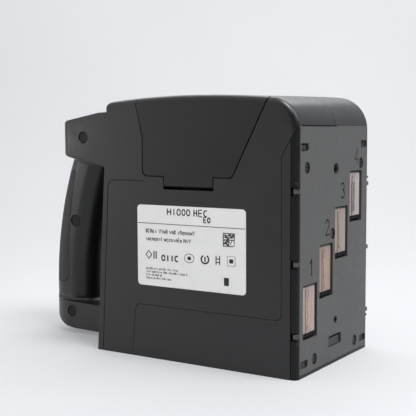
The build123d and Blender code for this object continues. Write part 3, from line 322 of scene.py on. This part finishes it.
BLACK = (0.0082, 0.0082, 0.0086)
MATERIALS = {
    "housing_black": moulded("housing_black", BLACK, 0.36),
    "lid_black": moulded("lid_black", (0.0056, 0.0057, 0.0061), 0.36, shine=0.42),
    "nose_black": moulded("nose_black", (0.0055, 0.0057, 0.0062), 0.38, 3200.0, 0.00001, shine=0.26),
    "plate_grey": moulded("plate_grey", (0.074, 0.073, 0.072), 0.50, 2600.0, 0.000015, 0.05),
    "screw_black": metal("screw_black", (0.006, 0.006, 0.007), 0.34, metallic=0.1),
    "screw_steel": metal("screw_steel", (0.52, 0.53, 0.55), 0.32),
    "pin_steel": metal("pin_steel", (0.58, 0.58, 0.60), 0.22, (0.05, 1.0, 1.0)),
    "bracket_steel": metal("bracket_steel", (0.45, 0.46, 0.48), 0.36, (1.0, 0.06, 1.0)),
    "magnet_nickel": metal("magnet_nickel", (0.66, 0.64, 0.60), 0.16),
    "label_white": label_stock("label_white"),
    "carrier_black": moulded("carrier_black", (0.016, 0.016, 0.017), 0.40, 3000.0, 0.00001),
    "cartridge_shell": moulded("cartridge_shell", (0.030, 0.030, 0.033), 0.34, 3000.0, 0.00001),
    "nozzle_foil": None,
    "lever_grey": moulded("lever_grey", (0.14, 0.14, 0.15), 0.38, 3000.0, 0.00001),
    "ribbon_amber": ribbon("ribbon_amber"),
    "board_green": circuit_board("board_green"),
    "chip_black": moulded("chip_black", (0.014, 0.014, 0.015), 0.5, 4000.0, 0.00001),
    "battery_blue": shrink_wrap("battery_blue", (0.02, 0.07, 0.26)),
    "metal_can": metal("metal_can", (0.55, 0.55, 0.57), 0.3, (1.0, 1.0, 0.05)),
    "screen_glass": glass("screen_glass"),
    "button_grey": moulded("button_grey", (0.055, 0.055, 0.06), 0.36, 3200.0, 0.00001),
    "jack_black": moulded("jack_black", (0.010, 0.010, 0.011), 0.3, 4000.0, 0.000008),
    "rubber_black": soft_touch("rubber_black", (0.014, 0.014, 0.015)),
    "handle_black": moulded("handle_black", (0.0072, 0.0074, 0.0079), 0.33),
    "grip_black": soft_touch("grip_black", (0.0075, 0.0077, 0.0082)),
    "plug_black": moulded("plug_black", (0.0028, 0.0028, 0.0030), 0.48, 3200.0, 0.00001, shine=0.25),
}


def foil(name, shift, brown, silver):
    """The flexible circuit on a print head: brushed foil, streaked along the nozzle line."""
    g = Graph(name)
    streaks = g.noise(700.0, 4.0, 0.65, g.stretched((1.0, 1.0, 0.02), shift=(0.0, shift, 0.0)))
    bands = g.noise(120.0, 2.0, 0.5, g.stretched((1.0, 1.0, 0.05), shift=(0.0, shift, 0.0)))
    tinted = g.mix(g.spread(bands, 0.0, 1.0, 0.35, 0.65), brown, silver)
    base = g.mix(g.spread(streaks, 0.0, 0.6, 0.35, 0.7), tinted, tuple(c * 0.62 for c in brown))
    rough = g.spread(streaks, 0.34, 0.5)
    return g.finish(base, rough, g.bump(streaks, 0.00001, 0.6), Metallic=0.35)


BROWN, SILVER = (0.40, 0.27, 0.22), (0.52, 0.46, 0.46)
FOILS = {
    1: foil("nozzle_foil_1", 0.11, (0.46, 0.34, 0.31), SILVER),
    2: foil("nozzle_foil_2", 0.37, BROWN, (0.44, 0.33, 0.29)),
    3: foil("nozzle_foil_3", 0.53, (0.42, 0.31, 0.28), SILVER),
    4: foil("nozzle_foil_4", 0.79, (0.46, 0.35, 0.33), (0.54, 0.48, 0.48)),
}
GOLD = metal("contact_gold", (0.74, 0.50, 0.17), 0.28)
DIE = metal("nozzle_die", (0.16, 0.15, 0.15), 0.3, (1.0, 1.0, 0.04), metallic=0.4)
# near-black matte ink: the nozzle gaskets' own colour, and painted shade on the screws' countersinks, the gap over
# the print plate, the lid's catch plate and in part the head numbers
DARK_INK_AND_SHADE = ink("dark_ink_and_painted_shade", (0.008, 0.008, 0.009), 0.06)
LABEL_INK = ink("label_ink", (0.012, 0.012, 0.015))
LABEL_RULE = ink("label_rule", (0.07, 0.06, 0.09))


# ------------------------------------------------------------------ finish of the CAD pieces
def tidy_surface(name):
    """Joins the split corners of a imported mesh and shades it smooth, apart from its real edges."""
    tree = bpy.data.node_groups.new(name, "GeometryNodeTree")
    tree.interface.new_socket("Geometry", in_out="INPUT", socket_type="NodeSocketGeometry")
    tree.interface.new_socket("Geometry", in_out="OUTPUT", socket_type="NodeSocketGeometry")
    start = tree.nodes.new("NodeGroupInput")
    end = tree.nodes.new("NodeGroupOutput")
    strip = tree.nodes.new("GeometryNodeRemoveAttribute")
    strip.inputs["Name"].default_value = "custom_normal"
    weld = tree.nodes.new("GeometryNodeMergeByDistance")
    weld.inputs["Distance"].default_value = 0.000004
    faces = tree.nodes.new("GeometryNodeSetShadeSmooth")
    angle = tree.nodes.new("GeometryNodeInputMeshEdgeAngle")
    sharp = tree.nodes.new("FunctionNodeCompare")
    sharp.data_type = "FLOAT"
    sharp.operation = "LESS_EQUAL"
    sharp.inputs["B"].default_value = math.radians(28)
    edges = tree.nodes.new("GeometryNodeSetShadeSmooth")
    edges.domain = "EDGE"
    link = tree.links.new
    link(start.outputs[0], strip.inputs["Geometry"])
    link(strip.outputs["Geometry"], weld.inputs["Geometry"])
    link(weld.outputs["Geometry"], faces.inputs["Geometry"])
    link(faces.outputs["Geometry"], edges.inputs["Geometry"])
    link(angle.outputs["Unsigned Angle"], sharp.inputs["A"])
    link(sharp.outputs["Result"], edges.inputs["Shade Smooth"])
    link(edges.outputs["Geometry"], end.inputs[0])
    return tree


SURFACE = tidy_surface("tidy_surface")
for name, node in NODES.items():
    slot = SLOT_OF[name]
    material = MATERIALS[slot]
    if slot == "nozzle_foil":
        material = FOILS[int(name[-1])]
    # painted shade: the lid's catch plate takes the near-black matte ink, so the finger gap in front of it stays
    # black
    if name == "lid_catch_plate":
        material = DARK_INK_AND_SHADE
    node.data.materials.clear()
    node.data.materials.append(material)
    node.modifiers.new("surface", "NODES").node_group = SURFACE


# ------------------------------------------------------------------ helpers for new pieces
def new_piece(name, mesh, material, body):
    """A finished mesh as a piece of the object."""
    data = bpy.data.meshes.new(name)
    mesh.to_mesh(data)
    mesh.free()
    data.materials.append(material)
    piece = bpy.data.objects.new(name, data)
    scene.collection.objects.link(piece)
    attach(piece, body)
    return piece


def slab(mesh, outline, top, bottom):
    """A solid between two copies of an outline: top and bottom turn an outline point into a place."""
    upper = [mesh.verts.new(top(u, v)) for u, v in outline]
    lower = [mesh.verts.new(bottom(u, v)) for u, v in outline]
    mesh.faces.new(upper)
    mesh.faces.new(lower[::-1])
    for i, j in zip(range(len(outline)), [*range(1, len(outline)), 0]):
        mesh.faces.new((upper[j], upper[i], lower[i], lower[j]))


def on_side(y, thickness):
    """Maps (x, z) in mm onto the label side, standing proud of plane y by a thickness."""
    return (lambda u, v: (u * MM, (y - thickness) * MM, v * MM)), (lambda u, v: (u * MM, y * MM, v * MM))


def on_front(x, thickness):
    """Maps (y, z) in mm onto a plane that faces the print side."""
    return (lambda u, v: ((x + thickness) * MM, u * MM, v * MM)), (lambda u, v: (x * MM, u * MM, v * MM))


def rounded_box(u0, v0, u1, v1, radius, steps=5):
    """The outline of a rectangle with round corners."""
    points = []
    radius = min(radius, (u1 - u0) / 2, (v1 - v0) / 2)
    corners = ((u1 - radius, v1 - radius, 0), (u0 + radius, v1 - radius, 90),
               (u0 + radius, v0 + radius, 180), (u1 - radius, v0 + radius, 270))
    for cu, cv, start in corners:
        for step in range(steps + 1):
            angle = math.radians(start + 90 * step / steps)
            points.append((cu + radius * math.cos(angle), cv + radius * math.sin(angle)))
    return points


def stroke(line, width):
    """The outline of a pen stroke along a line of points, with square ends."""
    left, right = [], []
    for i, (u, v) in enumerate(line):
        before = line[max(i - 1, 0)]
        after = line[min(i + 1, len(line) - 1)]
        du, dv = after[0] - before[0], after[1] - before[1]
        size = math.hypot(du, dv)
        nu, nv = -dv / size * width / 2, du / size * width / 2
        left.append((u + nu, v + nv))
        right.append((u - nu, v - nv))
    return right + left[::-1]


def arc(cu, cv, ru, rv, start, end, steps=16):
    """Points along part of an ellipse, in degrees."""
    turns = [math.radians(start + (end - start) * k / steps) for k in range(steps + 1)]
    return [(cu + ru * math.cos(a), cv + rv * math.sin(a)) for a in turns]


# ------------------------------------------------------------------ white label: generic print
label_low, label_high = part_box("rating_label")
LABEL_LEFT, LABEL_TOP = label_low.x / MM, label_high.z / MM
LABEL_FACE = label_low.y / MM
rng = random.Random(7)
STROKES = (
    [arc(0.5, 0.5, 0.45, 0.46, 0, 350, 12)],
    [arc(0.5, 0.5, 0.45, 0.46, 50, 310, 12)],
    [[(0.5, 0.0), (0.5, 1.0)]],
    [[(0.1, 0.0), (0.1, 1.0)], [(0.1, 0.75), (0.55, 0.95), (0.85, 0.7), (0.85, 0.0)]],
    [[(0.9, 1.0), (0.1, 1.0), (0.1, 0.0), (0.9, 0.0)], [(0.1, 0.5), (0.8, 0.5)]],
    [[(0.1, 0.0), (0.1, 1.0)], [(0.9, 0.0), (0.9, 1.0)], [(0.1, 0.5), (0.9, 0.5)]],
    [[(0.0, 1.0), (0.5, 0.0), (1.0, 1.0)]],
)


def print_words(mesh, left, right, low, high, bold, widths=(0.38, 0.62), heights=(0.70, 0.70, 1.0)):
    """A line of made-up print: letter-like marks, in groups of word length."""
    top, bottom = on_side(LABEL_FACE, INK_AND_SHADE_THICKNESS)
    height = high - low
    pen = height * bold
    u = left
    while u < right:
        for _ in range(rng.randint(3, 8)):
            wide = height * rng.uniform(*widths)
            tall = height * rng.choice(heights)
            if u + wide > right:
                return
            for line in rng.choice(STROKES):
                placed = [(u + a * wide, low + b * tall) for a, b in line]
                slab(mesh, stroke(placed, pen), top, bottom)
            u += wide + height * 0.22
        u += height * 0.45


def label_spot(u, v):
    """A place on the label, from its upper left corner, as (x, z)."""
    return LABEL_LEFT + u, LABEL_TOP - v


def label_words(mesh, u0, u1, v0, v1, bold=0.25, **letters):
    """A line of made-up print in a box on the label."""
    (x0, z1), (x1, z0) = label_spot(u0, v0), label_spot(u1, v1)
    print_words(mesh, x0, x1, z0, z1, bold, **letters)


def label_shape(mesh, outline):
    """A printed shape, from its outline on the label."""
    top, bottom = on_side(LABEL_FACE, INK_AND_SHADE_THICKNESS)
    slab(mesh, [label_spot(u, v) for u, v in outline][::-1], top, bottom)


words = bmesh.new()
capitals = {"widths": (0.62, 0.82), "heights": (1.0,)}
label_words(words, 27.3, 65.8, 2.1, 6.8, 0.21, **capitals)
label_words(words, 59.4, 66.0, 7.3, 10.9, 0.29, **capitals)
label_words(words, 7.9, 53.6, 17.9, 20.8)
label_words(words, 7.9, 48.5, 23.8, 26.6)
for row, end in enumerate((37.0, 45.0, 22.5, 32.0)):
    label_words(words, 7.9, end, 46.9 + row * 2.35, 48.5 + row * 2.35)
for column in range(13):               # a square code of random cells
    for line in range(13):
        finder = any(max(abs(column - a), abs(line - b)) in (0, 1, 3) for a, b in ((3, 3), (3, 9), (9, 3)))
        if finder or rng.random() < 0.5:
            u, v = 75.8 + column * 0.77, 17.3 + line * 0.76
            label_shape(words, rounded_box(u, v, u + 0.74, v + 0.73, 0.05, 1))
# plain shapes stand where a real label has its approval marks
label_shape(words, stroke(arc(10.4, 37.3, 2.6, 3.1, 0, 359, 4), 1.0))
label_shape(words, rounded_box(14.6, 34.4, 15.7, 40.2, 0.2, 1))
label_shape(words, rounded_box(16.6, 34.4, 17.7, 40.2, 0.2, 1))
label_words(words, 22.2, 38.6, 36.9, 41.1, 0.29, **capitals)
label_shape(words, stroke(arc(46.9, 37.7, 4.2, 3.2, 0, 359, 28), 0.45))
label_shape(words, arc(46.9, 37.7, 1.7, 1.5, 0, 330, 11))
label_shape(words, stroke(arc(60.6, 37.5, 3.2, 3.0, -60, 240, 20), 1.25))
label_shape(words, rounded_box(60.0, 35.6, 61.2, 39.4, 0.3, 1))
for u0, v0, u1, v1 in ((69.6, 34.2, 70.5, 40.6), (72.6, 34.2, 73.5, 40.6), (70.5, 36.0, 72.6, 36.8),
                       (70.5, 38.4, 72.6, 39.2)):
    label_shape(words, rounded_box(u0, v0, u1, v1, 0.1, 1))
label_shape(words, stroke(arc(82.7, 37.3, 4.5, 4.7, 45, 404, 4), 0.4))
label_shape(words, rounded_box(81.0, 35.8, 84.4, 38.8, 0.4, 2))
label_shape(words, rounded_box(76.6, 49.4, 80.8, 55.2, 0.4, 1))
new_piece("label_print", words, LABEL_INK, "housing")
rule = bmesh.new()
label_shape(rule, rounded_box(0.6, 13.45, 94.2, 14.0, 0.1, 1))
new_piece("label_rule", rule, LABEL_RULE, "housing")


# ------------------------------------------------------------------ print plate: the engraved head numbers, drawn as dark strokes on its face; their dark is partly the numbers' fill and partly painted shade of the engraving
plate_low, plate_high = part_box("print_plate")
PLATE_FACE = plate_high.x / MM
# ink on the print plate's face, also used for dark paint that stands in for shade
PLATE_INK_AND_SHADE = on_front(PLATE_FACE, INK_AND_SHADE_THICKNESS)
DIGIT_HEIGHT, DIGIT_WIDTH = 11.2, 5.6
DIGIT_PEN = {1: 1.3, 2: 1.0, 3: 1.05, 4: 0.7}
DIGITS = {
    1: [[(-0.28, 0.28), (0.10, 0.5), (0.10, -0.5)]],
    2: [arc(0.0, 0.24, 0.5, 0.26, 165, -28, 14) + [(-0.5, -0.47), (0.54, -0.47)]],
    3: [arc(-0.04, 0.25, 0.46, 0.245, 150, -80, 14) + arc(-0.02, -0.22, 0.52, 0.27, 80, -150, 16)],
    4: [[(0.24, -0.5), (0.24, 0.5), (-0.5, -0.22), (0.52, -0.22)]],
}
DIGIT_SPOTS = {1: (-38.85, 75.5), 2: (-13.25, 101.2), 3: (12.45, 126.5), 4: (36.75, 151.4)}
numbers = bmesh.new()
for digit, lines in DIGITS.items():
    middle_y, middle_z = DIGIT_SPOTS[digit]
    for line in lines:
        placed = [(middle_y + u * DIGIT_WIDTH, middle_z + v * DIGIT_HEIGHT) for u, v in line]
        for start, end in zip(placed, placed[1:]):
            du, dv = end[0] - start[0], end[1] - start[1]
            size = math.hypot(du, dv)
            pen = DIGIT_PEN[digit]
            du, dv = du / size * pen * 0.35, dv / size * pen * 0.35
            bit = [(start[0] - du, start[1] - dv), (end[0] + du, end[1] + dv)]
            slab(numbers, stroke(bit, pen), *PLATE_INK_AND_SHADE)
new_piece("head_numbers", numbers, DARK_INK_AND_SHADE, "housing")


# ------------------------------------------------------------------ painted shadow: dark crescents round the plate's screws and holes, wide on the right and thin on the left, stand in for the shade in their countersinks
PLATE_SCREWS = ((-45.75, 145.4), (45.25, 146.0), (-4.35, 96.2), (-33.55, 10.1), (35.65, 9.8))
countersink_shadows = bmesh.new()
for y, z in PLATE_SCREWS:
    slab(countersink_shadows, stroke(arc(y, z, 3.1, 3.1, -110, 110, 24), 1.9), *PLATE_INK_AND_SHADE)
    slab(countersink_shadows, stroke(arc(y, z, 3.6, 3.6, 110, 250, 16), 0.5), *PLATE_INK_AND_SHADE)
new_piece("screw_painted_shadows", countersink_shadows, DARK_INK_AND_SHADE, "housing")


# ------------------------------------------------------------------ catches in the plate's four clip slots
DOCK = (0.35, 17.0, 21.4, 8.2)
PLATE_TOP = plate_high.z / MM
CLIP_SLOTS = ((-49.3, 159.4), (50.35, 160.4), (-49.65, 9.1), (50.35, 9.0))
catches = bmesh.new()
for y, z in CLIP_SLOTS:
    for start, end in ((-4.1, -0.15), (0.15, 3.7)):
        slab(catches, rounded_box(y + start, z - 2.3, y + end, z + 1.7, 0.5), *on_front(PLATE_FACE - 2.6, 1.5))
CATCH = moulded("catch_grey", (0.022, 0.022, 0.022), 0.5, 3200.0, 0.00001)
new_piece("clip_catches", catches, CATCH, "housing")

dock = bmesh.new()
slab(dock, rounded_box(DOCK[0] - DOCK[2] / 2 + 0.4, DOCK[1] - DOCK[3] / 2 + 0.4, DOCK[0] + DOCK[2] / 2 - 2.2,
                       DOCK[1] + DOCK[3] / 2 - 1.7, 0.6), *on_front(PLATE_FACE - 2.6, 1.7))
new_piece("dock_pad", dock, CATCH, "housing")


# ------------------------------------------------------------------ dark caps on the plate's tabs in the near column
caps = bmesh.new()
for level in (30.2, 79.9, 129.6):
    slab(caps, rounded_box(-60.15, level - 1.5, -56.3, level + 1.5, 0.1), *PLATE_INK_AND_SHADE)
new_piece("tab_caps", caps, CATCH, "housing")


# ------------------------------------------------------------------ painted shadow: a dark strip along the top edge of the print plate's near half stands in for the shaded gap under the housing
gap_shadow_strip = bmesh.new()
slab(gap_shadow_strip, rounded_box(-54.5, PLATE_TOP - 0.75, 1.0, PLATE_TOP - 0.02, 0.1), *PLATE_INK_AND_SHADE)
new_piece("plate_top_painted_shadow", gap_shadow_strip, DARK_INK_AND_SHADE, "housing")


# ------------------------------------------------------------------ print heads: nozzle dies and contacts
DIE_HALF_WIDTH = {1: 0.35, 2: 0.5, 3: 0.9, 4: 2.6}
CONTACT_PLACES = {1: (-1.25, 1.05), 2: (1.1,), 3: (1.2,), 4: (-1.1,)}
LONG_CONTACTS = (1, 3)                 # the heads whose contacts run the whole length
CONTACT_HALF_WIDTH = 0.42
LINE_OFFSET = 2.9                      # from the middle of the nozzle plate to its nozzle line
BRACKET_INNER, BRACKET_OUTER = 1.0, 1.45
for head in HEADS:
    low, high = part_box(f"nozzle_plate_{head}")
    face = high.x / MM
    y0, y1, z0, z1 = low.y / MM, high.y / MM, low.z / MM, high.z / MM
    line_y = (y0 + y1) / 2 - LINE_OFFSET
    dark = bmesh.new()
    for v0, v1 in ((z0 + 2.2, z0 + 6.4), (z1 - 7.2, z1 - 2.4)):
        inner, outer = BRACKET_INNER, BRACKET_OUTER
        slab(dark, rounded_box(line_y - outer, v0, line_y - inner, v1, 0.2), *on_front(face, 0.05))
        slab(dark, rounded_box(line_y + inner, v0, line_y + outer, v1, 0.2), *on_front(face, 0.05))
        slab(dark, rounded_box(line_y - outer, v1 - 0.4, line_y + outer, v1, 0.2), *on_front(face, 0.05))
    half = DIE_HALF_WIDTH[head]
    slab(dark, rounded_box(line_y - half, z0 + 4.6, line_y + half, z1 - 7.0, 0.2), *on_front(face, 0.06))
    gasket = bmesh.new()
    slab(gasket, rounded_box(y0 - 0.5, z0 - 1.3, y1 + 0.5, z0 + 1.7, 0.2), *on_front(face, 0.03))
    new_piece(f"nozzle_gasket_{head}", gasket, DARK_INK_AND_SHADE, f"cartridge_{head}")
    new_piece(f"nozzle_line_{head}", dark, DIE, f"cartridge_{head}")
    strips = bmesh.new()
    for place in CONTACT_PLACES[head]:
        bottom_z, top_z = (z0 + 6.6, z1 - 7.6) if head in LONG_CONTACTS else (z0 + 14.0, z1 - 8.0)
        left, right = line_y + place - CONTACT_HALF_WIDTH, line_y + place + CONTACT_HALF_WIDTH
        slab(strips, rounded_box(left, bottom_z, right, top_z, 0.1), *on_front(face, 0.08))
    new_piece(f"nozzle_contacts_{head}", strips, GOLD, f"cartridge_{head}")


# ------------------------------------------------------------------ floor and backdrop
def backdrop_material():
    """Pale studio paper that glows a little more with height, as a lit backdrop does."""
    g = Graph("studio_paper")
    fibres = g.noise(500.0, 3.0)
    base = g.mix(g.spread(g.noise(3.0), 0.0, 1.0), (0.370, 0.373, 0.380), (0.390, 0.394, 0.401))
    split = g.node("ShaderNodeSeparateXYZ")
    g.link(g.place, split.inputs["Vector"])
    g.link(g.spread(split.outputs[2], 0.23, 0.46, 0.0, 0.9), g.shader.inputs["Emission Strength"])
    return g.finish(base, g.spread(fibres, 0.75, 0.9), g.bump(fibres, 0.0001, 0.1),
                    Emission_Color=(0.96, 0.97, 1.0, 1.0))


FLOOR_FRONT, FLOOR_BACK = -14.0, 0.1   # metres from the object, along the camera's heading
CURVE_START, CURVE_RADIUS = 0.35, 0.5
WALL_TOP = 3.5
SWEEP_HALF_WIDTH = 4.0
sweep = bmesh.new()
heading = math.radians(CAMERA_HEADING)
forward = Vector((-math.sin(heading), math.cos(heading), 0))
sideways = Vector((math.cos(heading), math.sin(heading), 0))
profile = [(FLOOR_FRONT, 0.0), (FLOOR_BACK, 0.0)]
profile += [(CURVE_START + CURVE_RADIUS * math.sin(a), CURVE_RADIUS - CURVE_RADIUS * math.cos(a)) for a in
            [math.radians(k * 5) for k in range(0, 19)]]
profile += [(CURVE_START + CURVE_RADIUS, WALL_TOP)]
rows = [[sweep.verts.new(forward * d + sideways * s + Vector((0, 0, h))) for d, h in profile]
        for s in (-SWEEP_HALF_WIDTH, SWEEP_HALF_WIDTH)]
for i in range(len(profile) - 1):
    sweep.faces.new((rows[0][i], rows[1][i], rows[1][i + 1], rows[0][i + 1]))
floor_mesh = bpy.data.meshes.new("floor")
sweep.to_mesh(floor_mesh)
sweep.free()
floor_mesh.materials.append(backdrop_material())
floor_mesh.shade_smooth()
floor = bpy.data.objects.new("floor", floor_mesh)
scene.collection.objects.link(floor)
floor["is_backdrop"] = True

low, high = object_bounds()
